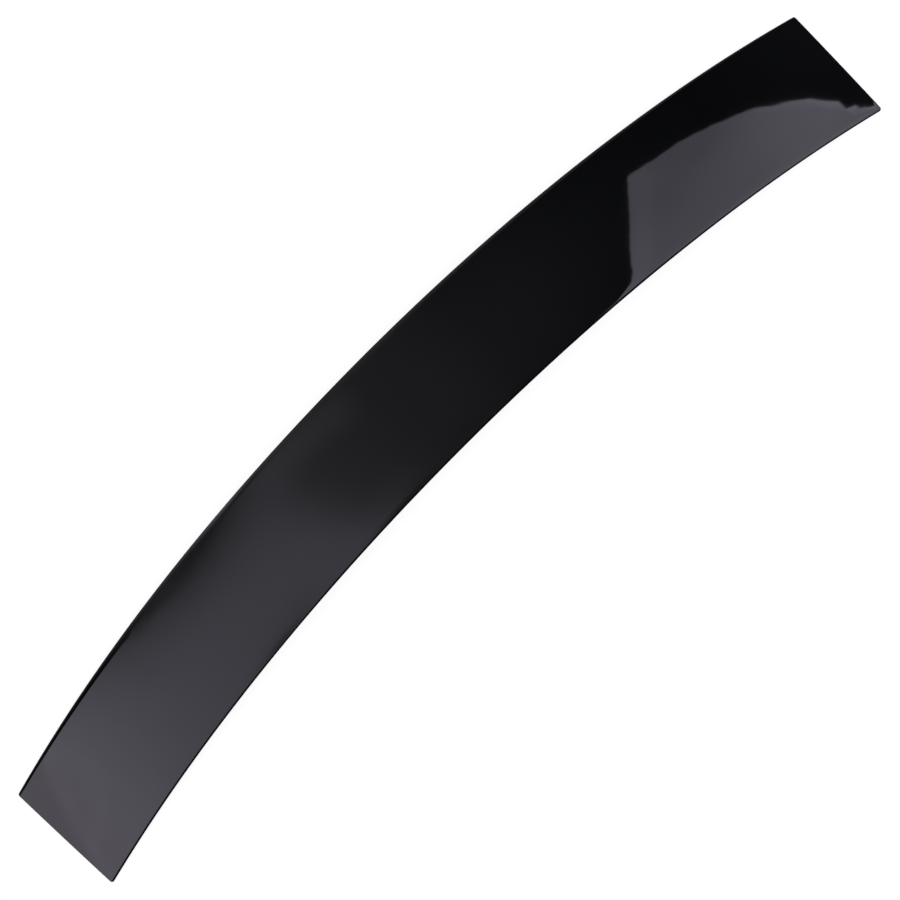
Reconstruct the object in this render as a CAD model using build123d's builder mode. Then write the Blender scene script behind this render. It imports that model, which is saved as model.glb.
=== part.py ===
from build123d import *
import os
from math import asin, degrees, sqrt, tan, radians

# Trunk spoiler: one thin moulded panel, bowed in plan, crowned both ways, with a turned-down rim.
# Millimetres. +X runs across the car, +Y towards the bowed front edge and +Z up.
# The panel lies crown up on the lower corners of its two ends, at Z = 0.

# Plan
length = 1100.0             # across the car, between the ends of the front edge
end_taper = 4.1             # each end of the rear edge stops this far short of the front edge's end
mid_width = 133.2           # front to rear across the middle
front_sagitta = 63.1        # how far the ends of the front edge lie behind its middle
front_end_angle = 14.57     # turn of the front edge at its ends, in degrees from X
rear_sagitta = 58.8         # the same two for the rear edge
rear_end_angle = 13.65
corner_radius = 2.6         # the four corners, seen from above

# Crown
crown_rise = 48.0           # rise of the arch from its ends to its middle
camber_radius = 1600.0      # fore-and-aft curve of the skin along its crest

# Section
skin = 3.0                  # wall of the crowned skin
rim_depth = 6.0             # skin and turned-down rim together
rim_width = 3.0             # wall of the rim
edge_radius = 1.6           # rounding of the show side into the rim
recess_corner_radius = 5.0  # corners of the hollow underneath

# The tools that cut the skin run this far past the outline
overrun = 20.0

half_length = length / 2
rear_half_length = half_length - end_taper
front_end_y = -front_sagitta
rear_end_y = -mid_width - rear_sagitta


def bowed_edge(half, sagitta, end_angle, middle_y):
    """Control points of an even bow: level in the middle, at the given angle at its two ends."""
    end_y = -sagitta
    shoulder_y = end_y + tan(radians(end_angle)) * half / 2
    middle_control_y = -(2 * end_y + 8 * shoulder_y) / 6
    heights = (end_y, shoulder_y, middle_control_y, shoulder_y, end_y)
    spacing = half / 2
    return [(-half + i * spacing, middle_y + y) for i, y in enumerate(heights)]


# The crown is an arch across the car, turned about an axis far below the panel.
# The arch's radius follows from its rise, and the crest is placed where the turn sets
# the lower corners of the two ends level with each other.
arch_radius = (half_length**2 + crown_rise**2) / (2 * crown_rise)


def height_over_axis(x):
    """Height of the rim's lower edge over the turning axis, along the crest."""
    return camber_radius - arch_radius + sqrt((arch_radius - rim_depth) ** 2 - x**2)


taper_rise = height_over_axis(rear_half_length) ** 2 - height_over_axis(half_length) ** 2
crest_y = (front_end_y + rear_end_y + taper_rise / (front_end_y - rear_end_y)) / 2
reach = max(-crest_y, crest_y - rear_end_y) + overrun
turn = degrees(asin(reach / camber_radius))
turning_axis = Axis((0, crest_y, -camber_radius), (1, 0, 0))
arch_plane = Plane(
    origin=turning_axis.position,
    x_dir=(1, 0, 0),
    z_dir=Vector(0, -1, 0).rotate(Axis.X, -turn),
)
arch_centre = (0, camber_radius - arch_radius)
arch_span = length + 2 * overrun
prism_height = crown_rise + rim_depth + reach**2 / camber_radius + overrun

with BuildSketch() as outline:
    with BuildLine():
        front = Bezier(*bowed_edge(half_length, front_sagitta, front_end_angle, 0))
        rear = Bezier(*bowed_edge(rear_half_length, rear_sagitta, rear_end_angle, -mid_width))
        Line(front @ 0, rear @ 0)
        Line(front @ 1, rear @ 1)
    make_face()

# Hollow underneath: the outline less the rim, up to the inside of the skin
with BuildPart() as hollow:
    with BuildSketch(Plane.XY.offset(-prism_height)):
        add(outline.sketch)
        for shift in ((0, rim_width), (0, -rim_width), (rim_width, 0), (-rim_width, 0)):
            with Locations(shift):
                add(outline.sketch, mode=Mode.INTERSECT)
    extrude(amount=2 * prism_height)
    fillet(hollow.edges().filter_by(Axis.Z), recess_corner_radius)
    with BuildSketch(arch_plane):
        with Locations(arch_centre):
            Circle(arch_radius - skin)
            Circle(arch_radius - rim_depth - overrun, mode=Mode.SUBTRACT)
        Rectangle(arch_span, camber_radius, align=(Align.CENTER, Align.MIN), mode=Mode.INTERSECT)
    revolve(axis=turning_axis, revolution_arc=2 * turn, mode=Mode.INTERSECT)

# Panel, drawn with the middle of its front edge at X = Y = 0 and its crest at Z = 0
with BuildPart() as shell:
    with BuildSketch(Plane.XY.offset(-prism_height)):
        add(outline.sketch)
    extrude(amount=2 * prism_height)
    fillet(shell.edges().filter_by(Axis.Z), corner_radius)
    with BuildSketch(arch_plane):
        with Locations(arch_centre):
            Circle(arch_radius)
            Circle(arch_radius - rim_depth, mode=Mode.SUBTRACT)
        Rectangle(arch_span, camber_radius, align=(Align.CENTER, Align.MIN), mode=Mode.INTERSECT)
    revolve(axis=turning_axis, revolution_arc=2 * turn, mode=Mode.INTERSECT)
    fillet(shell.faces().sort_by(Axis.Z)[-1].edges(), edge_radius)
    add(hollow.part, mode=Mode.SUBTRACT)

# The finished panel stands over its own footprint's middle, on Z = 0
drawn_box = shell.part.bounding_box()
with BuildPart() as spoiler_panel:
    with Locations((0, -drawn_box.center().Y, -drawn_box.min.Z)):
        add(shell.part)
spoiler_panel.part.label = "spoiler_panel"

os.makedirs("parts", exist_ok=True)
export_step(spoiler_panel.part, "parts/spoiler_panel.step")
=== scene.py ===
from math import pi, radians, tan

import bmesh
import bpy
import numpy as np
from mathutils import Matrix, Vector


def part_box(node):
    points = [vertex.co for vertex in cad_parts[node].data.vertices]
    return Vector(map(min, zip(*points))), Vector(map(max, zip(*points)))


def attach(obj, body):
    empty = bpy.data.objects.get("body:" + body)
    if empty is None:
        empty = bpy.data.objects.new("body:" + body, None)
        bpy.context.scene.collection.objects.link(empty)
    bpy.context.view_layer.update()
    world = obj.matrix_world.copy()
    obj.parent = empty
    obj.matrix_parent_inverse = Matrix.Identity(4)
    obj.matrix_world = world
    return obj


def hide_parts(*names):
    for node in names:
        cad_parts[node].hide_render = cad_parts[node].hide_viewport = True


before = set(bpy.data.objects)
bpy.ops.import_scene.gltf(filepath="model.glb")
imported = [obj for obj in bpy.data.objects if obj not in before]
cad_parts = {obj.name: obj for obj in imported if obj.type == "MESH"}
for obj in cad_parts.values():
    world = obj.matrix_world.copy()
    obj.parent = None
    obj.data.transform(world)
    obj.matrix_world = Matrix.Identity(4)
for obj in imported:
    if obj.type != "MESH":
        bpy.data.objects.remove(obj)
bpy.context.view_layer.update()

# Trunk spoiler: one gloss black panel, lying crown up on a white floor and seen from above.
# Metres, in the part's own frame: +X across the car, +Y towards the bowed front edge, +Z up.

NODE = "spoiler_panel"
LOW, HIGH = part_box(NODE)

# The panel's sizes, the same as the solid's
LENGTH = 1.1
END_TAPER = 0.0041
MID_WIDTH = 0.1332
FRONT_SAGITTA = 0.0631
FRONT_END_ANGLE = radians(14.57)
REAR_SAGITTA = 0.0588
REAR_END_ANGLE = radians(13.65)
CORNER_RADIUS = 0.0026
CROWN_RISE = 0.048
CAMBER_RADIUS = 1.6
SKIN = 0.003
RIM_DEPTH = 0.006
RIM_WIDTH = 0.003
RECESS_CORNER_RADIUS = 0.005

# The turn of the show side into the rim: gentle at first, then crisp into the upright side
FRONT_EDGE_RADIUS = 0.0016
REAR_EDGE_RADIUS = 0.0045
END_EDGE_RADIUS = 0.0012
TRIM_RADIUS = 0.0005
TRIM_ANGLE = radians(60)
FOOT_RADIUS = 0.0004

# A slight roll of the skin before its long edges: drop, width
FRONT_ROLL = (0.00027, 0.0065)
REAR_ROLL = (0.00016, 0.010)

# How finely the panel's mesh is divided
STEPS_ALONG = 360
STEPS_ACROSS = 44
STEPS_CORNER = 7
STEPS_GENTLE = 8
STEPS_TRIM = 5
STEPS_SIDE = 2
STEPS_FOOT = 3
STEPS_ROLL = 13
CORE_INSET = 0.0105
ROLL_END_INSET = 0.0026
ROLL_INSETS = np.geomspace(CORE_INSET, ROLL_END_INSET, STEPS_ROLL + 1)[1:]

# Rings from the last of those insets to where the edge starts to turn: share of that gap still to go
APPROACH_SHARES = (0.75, 0.5, 0.25)

# How the mesh is worked out and finished
HALVINGS = 50
SLOPE_STEP = 1e-5
WELD_DISTANCE = 1e-6
SHARP_ANGLE = radians(40)

# Moulding waves in the show side: (height, waves per metre in X and in Y, phase)
WAVES = (
    (2.4e-6, 21.0, 9.0, 0.4),
    (1.6e-6, 34.0, -17.0, 2.1),
    (0.9e-6, 63.0, 41.0, 4.0),
)

HALF = LENGTH / 2
REAR_HALF = HALF - END_TAPER
ARCH_RADIUS = (HALF**2 + CROWN_RISE**2) / (2 * CROWN_RISE)
FRONT_Y = HIGH.y
CREST_Z = HIGH.z


def bow(x, half, sagitta, end_angle):
    """How far an even fourth-degree bow has dropped back at x, and its slope there."""
    fourth = (tan(end_angle) * half - 2 * sagitta) / 2
    second = sagitta - fourth
    s = x / half
    return -(second * s**2 + fourth * s**4), -(2 * second * s + 4 * fourth * s**3) / half


def front_edge(x):
    drop, slope = bow(x, HALF, FRONT_SAGITTA, FRONT_END_ANGLE)
    return FRONT_Y + drop, slope


def rear_edge(x):
    drop, slope = bow(x, REAR_HALF, REAR_SAGITTA, REAR_END_ANGLE)
    return FRONT_Y - MID_WIDTH + drop, slope


def over_axis(x, depth):
    """Height over the crown's turning axis of the arch that lies this deep in the panel."""
    return CAMBER_RADIUS - ARCH_RADIUS + np.sqrt((ARCH_RADIUS - depth) ** 2 - x**2)


FRONT_END_Y = float(front_edge(HALF)[0])
REAR_END_Y = float(rear_edge(REAR_HALF)[0])
TAPER_RISE = over_axis(REAR_HALF, RIM_DEPTH) ** 2 - over_axis(HALF, RIM_DEPTH) ** 2
CREST_Y = (FRONT_END_Y + REAR_END_Y + TAPER_RISE / (FRONT_END_Y - REAR_END_Y)) / 2


def crown(xy, depth=0.0):
    """Height of the crowned surface that lies this deep in the panel, over points in plan."""
    x, y = xy[..., 0], xy[..., 1]
    return np.sqrt(over_axis(x, depth) ** 2 - (y - CREST_Y) ** 2) - CAMBER_RADIUS + CREST_Z


def roll(inset, drop, width):
    """How far the skin has dropped at an inset from a long edge."""
    return drop * np.maximum(1 - inset / width, 0) ** 3


def show_side(xy):
    """Height of the show side: the crown with rolled long edges and slight moulding waves."""
    x, y = xy[..., 0], xy[..., 1]
    front_y, front_slope = front_edge(x)
    rear_y, rear_slope = rear_edge(x)
    drop = roll((front_y - y) / np.sqrt(1 + front_slope**2), *FRONT_ROLL)
    drop = drop + roll((y - rear_y) / np.sqrt(1 + rear_slope**2), *REAR_ROLL)
    ripple = sum(h * np.sin(2 * pi * (kx * x + ky * y) + phase) for h, kx, ky, phase in WAVES)
    return crown(xy) - drop + ripple


def edge_turn(radius, angle):
    """Inset and height of the turned edge at an angle from the rim's upright side."""
    trim, gentle = np.minimum(angle, TRIM_ANGLE), np.maximum(angle, TRIM_ANGLE)
    inset = TRIM_RADIUS * (1 - np.cos(trim)) + radius * (np.cos(TRIM_ANGLE) - np.cos(gentle))
    height = TRIM_RADIUS * np.sin(trim) + radius * (np.sin(gentle) - np.sin(TRIM_ANGLE))
    return inset, height


END_RUN = np.array([REAR_HALF - HALF, REAR_END_Y - FRONT_END_Y])
END_INWARD = np.array([END_RUN[1], -END_RUN[0]]) / np.hypot(*END_RUN)
END_CORNER = np.array([HALF, FRONT_END_Y])
MIRROR = np.array([-1, 1])


def edge_points(edge, side, x):
    """Points of a long edge and their outward directions. Side is 1 in front and -1 behind."""
    y, slope = edge(x)
    outward = side * np.stack([-slope, np.ones_like(slope)], -1)
    return np.stack([x, y], -1), outward / np.linalg.norm(outward, axis=-1, keepdims=True)


def end_of_inset(edge, side, half, inset):
    """The x on a long edge whose inset point meets the inset end line, by halving."""
    short, long = half - 4 * inset, half + inset
    for _ in range(HALVINGS):
        middle = (short + long) / 2
        point, outward = edge_points(edge, side, np.array([middle]))
        if (point[0] - inset * outward[0] - END_CORNER) @ END_INWARD > inset:
            short = middle
        else:
            long = middle
    return (short + long) / 2


class Loop:
    """The panel's outline at one inset, with rounded corners, and the grid of points inside it."""

    def __init__(self, inset, radius):
        depth = inset + CORE_INSET
        share = np.linspace(-1, 1, STEPS_ALONG + 1)
        front_end = end_of_inset(front_edge, 1, HALF, depth)
        rear_end = end_of_inset(rear_edge, -1, REAR_HALF, depth)
        front, front_out = edge_points(front_edge, 1, share * front_end)
        rear, rear_out = edge_points(rear_edge, -1, share * rear_end)
        across = np.linspace(0, 1, STEPS_ACROSS + 1)[None, :, None]
        inner_front, inner_rear = front - depth * front_out, rear - depth * rear_out
        self.grid = inner_front[:, None] * (1 - across) + inner_rear[:, None] * across
        last, deep = STEPS_ALONG, STEPS_ACROSS
        right_out, left_out = -END_INWARD, -END_INWARD * MIRROR
        runs = (
            [((i, 0), front_out[i]) for i in range(last + 1)],
            [((last, j), right_out) for j in range(deep + 1)],
            [((i, deep), rear_out[i]) for i in range(last, -1, -1)],
            [((0, j), left_out) for j in range(deep, -1, -1)],
        )
        points, out, reach, mitres, self.cells = [], [], [], [], []
        for run, following in zip(runs, runs[1:] + runs[:1]):
            for cell, direction in run:
                points.append(self.grid[cell] + CORE_INSET * direction)
                out.append(direction)
                reach.append(CORE_INSET)
                mitres.append((0, 0))
                self.cells.append(cell)
            cell, start = run[-1]
            finish = following[0][1]
            mitre = (start + finish) / (1 + start @ finish)
            centre = self.grid[cell] + (CORE_INSET - radius) * mitre
            for k in range(STEPS_CORNER + 1):
                turn = start + (finish - start) * k / STEPS_CORNER
                turn = turn / np.hypot(*turn)
                points.append(centre + radius * turn)
                out.append(turn)
                reach.append(radius)
                mitres.append(mitre)
                self.cells.append(cell)
        self.points, self.out = np.array(points), np.array(out)
        self.reach, self.mitres = np.array(reach), np.array(mitres)

    def ring(self, inset):
        """The outline drawn in by an inset. Corners that run out of radius go on as mitres."""
        arc = np.minimum(inset, self.reach)[:, None]
        beyond = np.maximum(inset - self.reach, 0)[:, None]
        return self.points - self.out * arc - self.mitres * beyond


class Skin:
    """Collects the panel's vertices and faces."""

    def __init__(self):
        self.points, self.faces = [], []

    def add(self, plan, height):
        start = len(self.points)
        self.points += [(x, y, z) for (x, y), z in zip(plan.tolist(), height.tolist())]
        return list(range(start, len(self.points)))

    def add_grid(self, grid, height, upward):
        rows, columns = grid.shape[:2]
        ids = np.array(self.add(grid.reshape(-1, 2), height.reshape(-1)))
        ids = ids.reshape(rows, columns).tolist()
        for i in range(rows - 1):
            for j in range(columns - 1):
                face = [ids[i][j], ids[i][j + 1], ids[i + 1][j + 1], ids[i + 1][j]]
                self.faces.append(face if upward else face[::-1])
        return ids

    def join(self, inner, outer):
        """A strip of faces between two rings that run the same way round."""
        for k in range(len(outer)):
            after = (k + 1) % len(outer)
            corners = [inner[k], inner[after], outer[after], outer[k]]
            self.faces.append(list(dict.fromkeys(corners)))


def panel_mesh():
    """The panel as one closed mesh: show side, rounded edge, rim, and the hollow underneath."""
    skin = Skin()

    # Show side, out to where the edge starts to turn down
    outline = Loop(0.0, CORNER_RADIUS)
    forward = outline.out[:, 1]
    radius = END_EDGE_RADIUS + (FRONT_EDGE_RADIUS - END_EDGE_RADIUS) * np.maximum(forward, 0) ** 2
    radius = radius + (REAR_EDGE_RADIUS - END_EDGE_RADIUS) * np.maximum(-forward, 0) ** 2
    start = edge_turn(radius, pi / 2)[0]
    approach = [start + (ROLL_INSETS[-1] - start) * share for share in APPROACH_SHARES]
    top_ids = skin.add_grid(outline.grid, show_side(outline.grid), upward=True)
    ring = [top_ids[i][j] for i, j in outline.cells]
    for inset in [*ROLL_INSETS, *approach]:
        plan = outline.ring(inset)
        ring_out = skin.add(plan, show_side(plan))
        skin.join(ring, ring_out)
        ring = ring_out

    # Turned edge: from the skin's own slope to upright
    inner, outer = outline.ring(start + SLOPE_STEP), outline.ring(start - SLOPE_STEP)
    fall = (show_side(inner) - show_side(outer)) / (2 * SLOPE_STEP)
    top_angle = pi / 2 - np.arctan(fall)
    start, rise = edge_turn(radius, top_angle)
    shoulder = show_side(outline.ring(start)) - rise
    shares = np.linspace(1, 0, STEPS_GENTLE, endpoint=False)
    turns = [TRIM_ANGLE + (top_angle - TRIM_ANGLE) * share for share in shares]
    turns += list(np.linspace(TRIM_ANGLE, 0, STEPS_TRIM + 1))
    for angle in turns:
        inset, rise = edge_turn(radius, angle)
        ring_out = skin.add(outline.ring(inset), shoulder + rise)
        skin.join(ring, ring_out)
        ring = ring_out

    # Upright side of the rim, down to its rounded foot
    foot = crown(outline.points, RIM_DEPTH) + FOOT_RADIUS
    for share in np.linspace(0, 1, STEPS_SIDE + 1)[1:]:
        ring_out = skin.add(outline.points, shoulder + (foot - shoulder) * share)
        skin.join(ring, ring_out)
        ring = ring_out
    for angle in np.linspace(0, pi / 2, STEPS_FOOT + 1)[1:]:
        plan = outline.ring(FOOT_RADIUS * (1 - np.cos(angle)))
        ring_out = skin.add(plan, crown(plan, RIM_DEPTH) + FOOT_RADIUS * (1 - np.sin(angle)))
        skin.join(ring, ring_out)
        ring = ring_out

    # Under the rim, up its inside and across the hollow
    show_faces = len(skin.faces)
    hollow = Loop(RIM_WIDTH, RECESS_CORNER_RADIUS)
    for depth in (RIM_DEPTH, SKIN):
        ring_out = skin.add(hollow.points, crown(hollow.points, depth))
        skin.join(ring, ring_out)
        ring = ring_out
    under_ids = skin.add_grid(hollow.grid, crown(hollow.grid, SKIN), upward=False)
    skin.join(ring, [under_ids[i][j] for i, j in hollow.cells])

    # Heights fitted to the solid's own box
    points = np.array(skin.points)
    low, high = points[:, 2].min(), points[:, 2].max()
    points[:, 2] = LOW.z + (points[:, 2] - low) * (HIGH.z - LOW.z) / (high - low)
    mesh = bpy.data.meshes.new(NODE)
    mesh.from_pydata(points.tolist(), [], skin.faces)
    underside = np.arange(len(skin.faces)) >= show_faces
    mesh.polygons.foreach_set("material_index", underside.astype(np.int32))
    welded = bmesh.new()
    welded.from_mesh(mesh)
    bmesh.ops.remove_doubles(welded, verts=welded.verts, dist=WELD_DISTANCE)
    welded.to_mesh(mesh)
    welded.free()
    mesh.shade_smooth()
    mesh.set_sharp_from_angle(angle=SHARP_ANGLE)
    return mesh


PLASTIC_IOR = 1.5


def black_plastic(name, dark, light, roughness, grain_scale, grain_height):
    """Black plastic whose pigment, polish and grain vary a little from place to place."""
    material = bpy.data.materials.new(name)
    material.use_nodes = True
    nodes, links = material.node_tree.nodes, material.node_tree.links
    shader = nodes["Principled BSDF"]
    shader.inputs["IOR"].default_value = PLASTIC_IOR
    place = nodes.new("ShaderNodeTexCoord")

    def noise(scale, detail):
        texture = nodes.new("ShaderNodeTexNoise")
        texture.inputs["Scale"].default_value = scale
        texture.inputs["Detail"].default_value = detail
        links.new(place.outputs["Object"], texture.inputs["Vector"])
        return texture.outputs["Fac"]

    pigment = nodes.new("ShaderNodeValToRGB")
    pigment.color_ramp.elements[0].color = (*dark, 1)
    pigment.color_ramp.elements[1].color = (*light, 1)
    links.new(noise(scale=30, detail=3), pigment.inputs["Fac"])
    links.new(pigment.outputs["Color"], shader.inputs["Base Color"])

    polish = nodes.new("ShaderNodeMapRange")
    polish.inputs["To Min"].default_value, polish.inputs["To Max"].default_value = roughness
    links.new(noise(scale=18, detail=2), polish.inputs["Value"])
    links.new(polish.outputs["Result"], shader.inputs["Roughness"])

    grain = nodes.new("ShaderNodeBump")
    grain.inputs["Strength"].default_value = 1.0
    grain.inputs["Distance"].default_value = grain_height
    links.new(noise(scale=grain_scale, detail=1), grain.inputs["Height"])
    links.new(grain.outputs["Normal"], shader.inputs["Normal"])
    return material


def gloss_black():
    """Piano black show side: mirror gloss with a faint orange peel."""
    return black_plastic(
        "gloss_black",
        dark=(0.0007, 0.0008, 0.0010),
        light=(0.0011, 0.0013, 0.0016),
        roughness=(0.022, 0.040),
        grain_scale=260,
        grain_height=1.0e-6,
    )


def satin_black():
    """Underside as it leaves the mould: satin, with a fine grain."""
    return black_plastic(
        "satin_black",
        dark=(0.007, 0.007, 0.008),
        light=(0.013, 0.013, 0.014),
        roughness=(0.38, 0.52),
        grain_scale=1400,
        grain_height=3.0e-5,
    )


def spoiler():
    """The panel, in place of the solid."""
    piece = bpy.data.objects.new("spoiler_skin", panel_mesh())
    bpy.context.scene.collection.objects.link(piece)
    piece.data.materials.append(gloss_black())
    piece.data.materials.append(satin_black())
    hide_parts(NODE)
    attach(piece, "root")


# Studio: a white floor, a dim canopy overhead with two soft lights in it, and a fill lamp.
# The gloss mirrors the canopy: 1 m along it is about 0.3 m along the panel.
CANOPY_Z = 2.0
CANOPY_LIFT = 0.004  # the canopy hangs this far above its lights
CANOPY_HALF = 2.4
CANOPY_BACK = -0.55
CANOPY_FRONT = 2.2

# Tints of the canopy, of a light and of the left light's far end. A light's tint comes in between
# two levels, and the far end's between two places along X.
CANOPY_TINT = np.array([0.975, 0.970, 1.055])
LIGHT_TINT = np.array([0.958, 0.930, 1.112])
FAR_LEFT_TINT = np.array([0.990, 0.920, 1.090])
LIGHT_LEVELS = (0.3, 0.9)
FAR_LEFT = (-1.4, -1.6)

# How finely each glowing sheet is divided: points along X, points along Y
CANOPY_STEPS = (121, 80)
LEFT_STEPS = (200, 140)
RIGHT_STEPS = (150, 120)


def smooth(low, high, value):
    """A smooth step from 0 at low to 1 at high, whichever of the two is larger."""
    t = np.clip((value - low) / (high - low), 0, 1)
    return t * t * (3 - 2 * t)


def bump(value, middle, width):
    """A soft hump of height 1."""
    return np.exp(-(((value - middle) / width) ** 2))


def through(points, x):
    """The y at x of the straight runs through a few points."""
    return np.interp(x, *zip(*points))


def clouds(places, x, y):
    """Soft lighter and darker places in a light, as a share of its level."""
    share = np.ones_like(x)
    for middle_x, middle_y, spread_x, spread_y, gain in places:
        share = share + gain * bump(x, middle_x, spread_x) * bump(y, middle_y, spread_y)
    return share


def tail(x):
    """The canopy's level along the panel's length: it fades to the right, with slight rises."""
    level = 0.25 * np.exp(-x / 0.6) + 0.025 * bump(x, 0.55, 0.25)
    return level + 0.007 * smooth(0.7, 1.1, x) + 0.058 * smooth(1.3, 2.0, x)


def front_glow(x, y):
    """Light from the front of the canopy, brightest left of the middle."""
    near = 0.10 * bump(x, 0.05, 0.25) + 0.16 * bump(x, -0.64, 0.08)
    far = 0.36 + 0.55 * bump(x, -0.60, 0.16) - 0.32 * bump(x, -0.12, 0.36)
    return near * smooth(0.46, 0.55, y) + far * smooth(0.53, 0.78, y)


def canopy_glow(x, y):
    """The canopy's own faint light, a little fainter away from its middle line."""
    level = np.minimum(tail(x), 0.376) * smooth(-1.3, -0.85, x)
    middle = 1 - 2.6 * np.minimum(np.abs(y - 0.2), 0.28) ** 2
    return level * middle + front_glow(x, y)


# The left light: its reach to the right, and its outline in front and behind
LEFT_REACH = 0.4
LEFT_FRONT = ((-CANOPY_HALF, 0.475), (-1.06, 0.388), (-0.98, 0.8))
LEFT_BACK = ((-0.6, -0.72), (-0.2, CANOPY_BACK))

# Clouds in it: x, y, spread in x, spread in y, gain as a share of the level
LEFT_CLOUDS = (
    (-1.42, 0.36, 0.09, 0.05, -0.06),
    (-1.10, 0.22, 0.07, 0.07, -0.045),
    (-0.95, 0.35, 0.09, 0.04, 0.11),
    (-0.60, -0.05, 0.07, 0.07, -0.08),
    (-0.40, 0.52, 0.06, 0.04, -0.12),
    (-0.27, 0.34, 0.11, 0.10, -0.14),
    (-0.14, 0.03, 0.07, 0.07, 0.18),
    (0.14, -0.05, 0.10, 0.08, -0.20),
)


def left_front(x):
    return through(LEFT_FRONT, x)


def left_back(x):
    return through(LEFT_BACK, x)


def left_glow(x, y):
    """The left light: brightest at its far end, with a soft inner edge and shaded places."""
    # The far end, with a streak and an arc across it
    level = 0.42 + 1.22 / (1 + ((np.maximum(x, -1.6) + 1.57) / 0.42) ** 2)
    streak = x - 0.267 * y
    level = level * (1 + 0.05 * bump(streak, -1.638, 0.025) - 0.16 * smooth(-1.645, -1.70, streak))
    arc = x + 1.475 + 2.4 * (y - 0.13) ** 2
    level = level * (1 + 0.045 * bump(arc, 0.0, 0.045) - 0.035 * bump(arc, -0.10, 0.035))

    # The bowed inner edge, where the light fades
    depth = np.clip(0.39 - y, -0.1, 0.43)
    inner_edge = -0.42 - 0.13 * depth + 1.46 * depth**2
    lit = level / (1 + np.exp((x - inner_edge) / 0.052))

    # Shaded places, and what spills past the inner edge
    shade = 1 - 3.7 * bump(x, -0.81, 0.40) * bump(y, 0.70, 0.29)
    shade = shade - 0.9 * bump(x, -0.70, 0.11) * bump(y, -0.20, 0.11)
    spill = 0.15 * smooth(-0.5, -0.25, x) * smooth(0.0, -0.14, x)
    spill = spill * smooth(0.28, 0.43, y) * smooth(0.52, 0.44, y)

    # The dim surroundings
    around = np.minimum(tail(x), 0.48 - 0.10 * smooth(0.46, 0.54, y))
    around = around + 0.12 * (y - 0.2) * smooth(0.0, -0.3, x)
    behind = 1 - 0.6 * smooth(-0.03, -0.14, y) * smooth(-0.36, -0.12, x)
    own = np.maximum((around + lit * shade) * behind + spill, 0.24)
    own = own * clouds(LEFT_CLOUDS, x, y) + front_glow(x, y)

    # Over into the canopy at the right and along a stretch of the front
    beyond = canopy_glow(x, y)
    faded = smooth(0.36, 0.41, y) * smooth(-1.12, -1.0, x) * smooth(-0.75, -0.9, x)
    return beyond + (own - beyond) * smooth(LEFT_REACH, 0.0, x) * (1 - faded)


# The right light's front outline: a slanted side up to a corner, a bowed front and a notched tip
RIGHT_SPAN = (0.615, 2.3)
RIGHT_CORNER = (1.03, 0.262)
RIGHT_SIDE_SLOPE = 1.43
RIGHT_BOW = (0.10, 0.58)
RIGHT_TIP_X = 1.69
RIGHT_TIP_SLOPE = 1.38

# Uneven places in that outline: x, spread, rise
RIGHT_UNEVEN = (
    (1.155, 0.085, -0.0085),
    (1.50, 0.05, 0.012),
)

# Notches in it: x of the deepest point, depth, width to its right
NOTCH_STEP = 0.006
RIGHT_NOTCHES = (
    (0.815, 0.008, 0.014),
    (1.775, 0.040, 0.050),
    (1.819, 0.024, 0.100),
)

# Its slanted back: a point, how steeply it falls, and where it stops
RIGHT_BACK = (0.85, -0.59)
RIGHT_BACK_SLOPE = 1.1
RIGHT_BACK_LIMIT = -1.5

# The x that its level is given from, and its clouds, listed as the left light's are
RIGHT_MIDDLE_X = 1.3
RIGHT_CLOUDS = (
    (1.07, 0.16, 0.06, 0.04, 0.07),
    (1.08, 0.06, 0.08, 0.09, -0.05),
    (1.30, 0.13, 0.13, 0.07, -0.11),
    (1.49, -0.08, 0.10, 0.14, 0.055),
)


def notch_kinks(deepest, width):
    return deepest - NOTCH_STEP, deepest, deepest + width


def right_front(x):
    """Front outline of the right light: side, bow and tip, with uneven places and notches."""
    corner_x, corner_y = RIGHT_CORNER
    past = np.clip(x - corner_x, 0, RIGHT_TIP_X - corner_x)
    y = corner_y - RIGHT_SIDE_SLOPE * np.maximum(corner_x - x, 0)
    y = y - RIGHT_BOW[0] * past - RIGHT_BOW[1] * past**2
    y = y - RIGHT_TIP_SLOPE * np.maximum(x - RIGHT_TIP_X, 0)
    for middle, spread, rise in RIGHT_UNEVEN:
        y = y + rise * bump(x, middle, spread)
    for deepest, depth, width in RIGHT_NOTCHES:
        y = y - np.interp(x, notch_kinks(deepest, width), (0, depth, 0))
    return y


def right_back(x):
    back_x, back_y = RIGHT_BACK
    return np.maximum(back_y - RIGHT_BACK_SLOPE * (x - back_x), RIGHT_BACK_LIMIT)


def right_glow(x, y):
    """The right light: brighter away from the middle, at its back, by its slanted side and its tip."""
    # Level over the whole light, then brighter at its back
    u = x - RIGHT_MIDDLE_X
    level = 1.48 + 0.76 * u - 0.83 * y + 1.47 * u**2 + 0.62 * u * y - 1.48 * y**2
    level = np.clip(level, 1.2, 2.05) + 0.6 * smooth(-0.28, -0.45, y) * smooth(1.95, 1.70, x)
    level = level + 0.3 * smooth(-0.14, -0.30, y) * smooth(1.75, 1.35, x)

    # Clouds, a lighter slanted side and a darker place behind the tip
    corner_x, corner_y = RIGHT_CORNER
    from_side = (corner_y - y) / RIGHT_SIDE_SLOPE - (corner_x - x)
    share = clouds(RIGHT_CLOUDS, x, y) + 0.11 * smooth(0.14, 0.06, from_side)
    share = share - 0.07 * smooth(-0.16, -0.27, y) * smooth(1.58, 1.72, x)

    # A lighter rim along the front, towards the tip
    from_front = right_front(x) - y
    rim = 0.13 * smooth(0.07, 0.045, from_front) - 0.05 * bump(from_front, 0.075, 0.015)
    share = share + rim * smooth(1.60, 1.74, x)
    share = share + 0.25 * smooth(0.04, 0.0, from_front) * smooth(1.47, 1.55, x)
    return level * share


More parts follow.
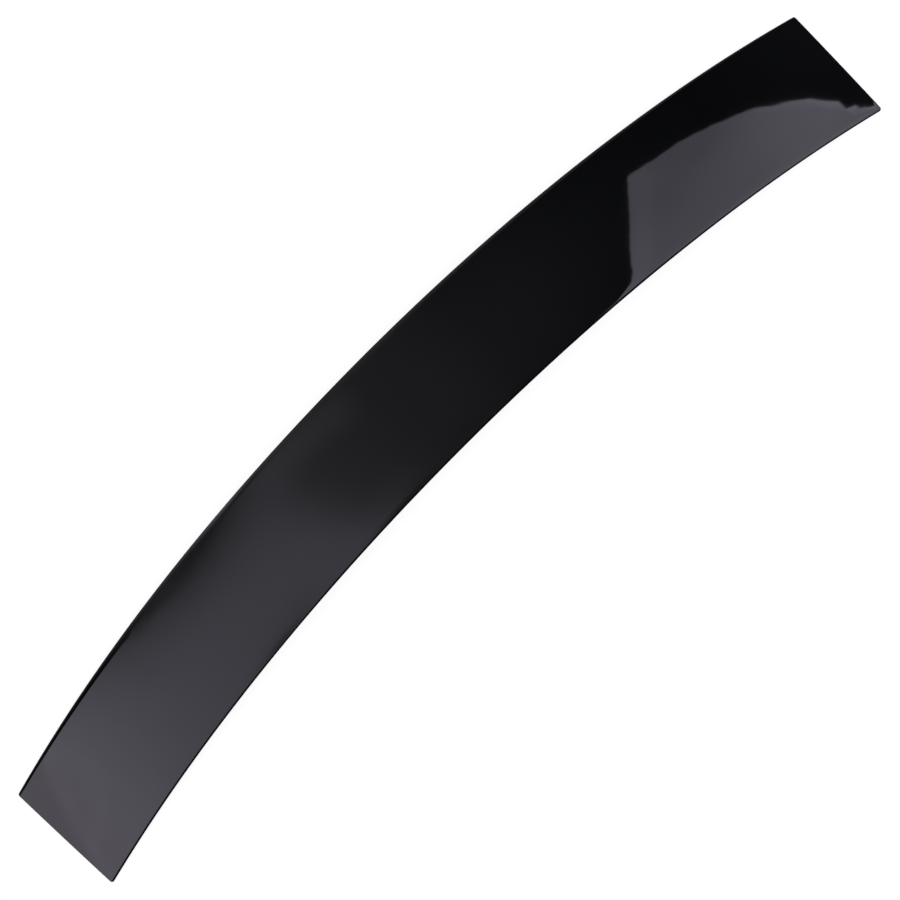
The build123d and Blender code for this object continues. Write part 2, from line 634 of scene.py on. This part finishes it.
def glow_material(name):
    """Shines with the level and tint that each point of a sheet carries."""
    material = bpy.data.materials.new(name)
    material.use_nodes = True
    nodes, links = material.node_tree.nodes, material.node_tree.links
    nodes.clear()
    reading = nodes.new("ShaderNodeAttribute")
    reading.attribute_name = "glow"
    emission = nodes.new("ShaderNodeEmission")
    output = nodes.new("ShaderNodeOutputMaterial")
    links.new(reading.outputs["Color"], emission.inputs["Color"])
    links.new(emission.outputs["Emission"], output.inputs["Surface"])
    return material


def sheet(xs, near, far, steps):
    """Columns of plan points over xs, from near(x) to far(x)."""
    share = np.linspace(0, 1, steps)
    return [[(x, near(x) + (far(x) - near(x)) * s) for s in share] for x in xs]


def light_panel(name, columns, glow):
    """A glowing sheet in the canopy. Each column is a run of plan points from back to front."""
    columns = np.array(columns)
    across, along = columns.shape[:2]
    flat = columns.reshape(-1, 2)
    points = [(x, y, CANOPY_Z) for x, y in flat.tolist()]
    faces = []
    for i in range(across - 1):
        for j in range(along - 1):
            k = i * along + j
            faces.append((k, k + 1, k + along + 1, k + along))
    mesh = bpy.data.meshes.new(name)
    mesh.from_pydata(points, [], faces)
    level = glow(flat[:, 0], flat[:, 1])[:, None]
    tint = CANOPY_TINT + (LIGHT_TINT - CANOPY_TINT) * smooth(*LIGHT_LEVELS, level)
    tint = tint + (FAR_LEFT_TINT - tint) * smooth(*FAR_LEFT, flat[:, :1])
    colour = np.ones((len(flat), 4), np.float32)
    colour[:, :3] = level * tint
    mesh.attributes.new("glow", "FLOAT_COLOR", "POINT").data.foreach_set("color", colour.ravel())
    mesh.materials.append(glow_material(name))
    panel = bpy.data.objects.new(name, mesh)
    bpy.context.scene.collection.objects.link(panel)
    panel.visible_camera = False
    panel.visible_shadow = False
    return panel


def studio_lights():
    """The canopy and its two lights. Each kink of an outline gets a column of its own."""
    columns, rows = CANOPY_STEPS
    across = np.linspace(-CANOPY_HALF, CANOPY_HALF, columns)
    plan = sheet(across, lambda x: CANOPY_BACK, lambda x: CANOPY_FRONT, rows)
    canopy = light_panel("canopy", plan, canopy_glow)
    canopy.location.z = CANOPY_LIFT

    columns, rows = LEFT_STEPS
    kinks = [x for x, y in LEFT_FRONT]
    across = np.union1d(np.linspace(-CANOPY_HALF, LEFT_REACH, columns), kinks)
    light_panel("left_light", sheet(across, left_back, left_front, rows), left_glow)

    columns, rows = RIGHT_STEPS
    kinks = [RIGHT_CORNER[0], RIGHT_TIP_X]
    for deepest, depth, width in RIGHT_NOTCHES:
        kinks += notch_kinks(deepest, width)
    across = np.union1d(np.linspace(*RIGHT_SPAN, columns), kinks)
    light_panel("right_light", sheet(across, right_back, right_front, rows), right_glow)


FILL_SIZE = 3.0
FILL_ENERGY = 100.0
FILL_Z = 3.0


def fill_lamp():
    """Soft light from overhead that neither the camera nor a reflection sees."""
    fill = bpy.data.lights.new("fill", "AREA")
    fill.size = FILL_SIZE
    fill.energy = FILL_ENERGY
    lamp = bpy.data.objects.new("fill", fill)
    lamp.location = (0, 0, FILL_Z)
    lamp.visible_camera = False
    lamp.visible_glossy = False
    bpy.context.scene.collection.objects.link(lamp)


FLOOR_REACH = 30.0
FLOOR_DROP = 0.0002  # below the panel's lowest points
FLOOR_PAINT = (0.86, 0.86, 0.86, 1)
FLOOR_WHITE = 1.10
FLOOR_WHITE_SHARE = 0.75


def floor_material():
    """Pale paint, brought near to white where the camera or a reflection sees it."""
    material = bpy.data.materials.new("floor")
    material.use_nodes = True
    nodes, links = material.node_tree.nodes, material.node_tree.links
    nodes.clear()
    paint = nodes.new("ShaderNodeBsdfDiffuse")
    paint.inputs["Color"].default_value = FLOOR_PAINT
    white = nodes.new("ShaderNodeEmission")
    white.inputs["Strength"].default_value = FLOOR_WHITE
    path = nodes.new("ShaderNodeLightPath")
    seen = path.outputs["Is Camera Ray"]
    for name in ("Is Glossy Ray", "Is Transmission Ray"):
        either = nodes.new("ShaderNodeMath")
        either.operation = "MAXIMUM"
        links.new(seen, either.inputs[0])
        links.new(path.outputs[name], either.inputs[1])
        seen = either.outputs[0]
    share = nodes.new("ShaderNodeMath")
    share.operation = "MULTIPLY"
    share.inputs[1].default_value = FLOOR_WHITE_SHARE
    links.new(seen, share.inputs[0])
    mix = nodes.new("ShaderNodeMixShader")
    links.new(share.outputs[0], mix.inputs["Fac"])
    links.new(paint.outputs[0], mix.inputs[1])
    links.new(white.outputs[0], mix.inputs[2])
    output = nodes.new("ShaderNodeOutputMaterial")
    links.new(mix.outputs[0], output.inputs["Surface"])
    return material


def pale_floor():
    """A wide sheet just under the panel."""
    reach = FLOOR_REACH
    mesh = bpy.data.meshes.new("floor")
    corners = [(-reach, -reach, 0), (reach, -reach, 0), (reach, reach, 0), (-reach, reach, 0)]
    mesh.from_pydata(corners, [], [(0, 1, 2, 3)])
    mesh.materials.append(floor_material())
    floor = bpy.data.objects.new("floor", mesh)
    floor.location.z = LOW.z - FLOOR_DROP
    bpy.context.scene.collection.objects.link(floor)


# The world's light: height of a direction over the horizon (1 is straight up), level
HORIZON = ((0.05, 1.0), (0.33, 0.40), (0.40, 0.12), (0.66, 0.03))


def studio_world():
    """White round the horizon, dark overhead."""
    world = bpy.data.worlds.new("studio")
    world.use_nodes = True
    nodes, links = world.node_tree.nodes, world.node_tree.links
    background = nodes["Background"]
    place = nodes.new("ShaderNodeTexCoord")
    split = nodes.new("ShaderNodeSeparateXYZ")
    fade = nodes.new("ShaderNodeValToRGB")
    stops = fade.color_ramp.elements
    while len(stops) < len(HORIZON):
        stops.new(1.0)
    for stop, (height, level) in zip(stops, HORIZON):
        stop.position = height
        stop.color = (level, level, level, 1)
    links.new(place.outputs["Generated"], split.inputs["Vector"])
    links.new(split.outputs["Z"], fade.inputs["Fac"])
    links.new(fade.outputs["Color"], background.inputs["Strength"])
    background.inputs["Color"].default_value = (1, 1, 1, 1)
    bpy.context.scene.world = world


# The camera, fitted to the photograph: place, turn about X, Y and Z in degrees, lens and sensor in mm
CAMERA_PLACE = (-0.07161, -0.05104, 2.50438)
CAMERA_TURN = (1.4459, -0.7527, -45.1312)
CAMERA_LENS = 100.0
CAMERA_SENSOR = 36.0
CAMERA_REACH = 100.0


def camera():
    """Straight over the panel, turned so that it runs from lower left to upper right."""
    lens = bpy.data.cameras.new("camera")
    lens.lens = CAMERA_LENS
    lens.sensor_width = CAMERA_SENSOR
    lens.clip_end = CAMERA_REACH
    eye = bpy.data.objects.new("camera", lens)
    eye.location = CAMERA_PLACE
    eye.rotation_euler = [radians(angle) for angle in CAMERA_TURN]
    bpy.context.scene.collection.objects.link(eye)
    bpy.context.scene.camera = eye


bpy.context.scene.view_settings.view_transform = "Standard"
spoiler()
pale_floor()
studio_lights()
fill_lamp()
studio_world()
camera()
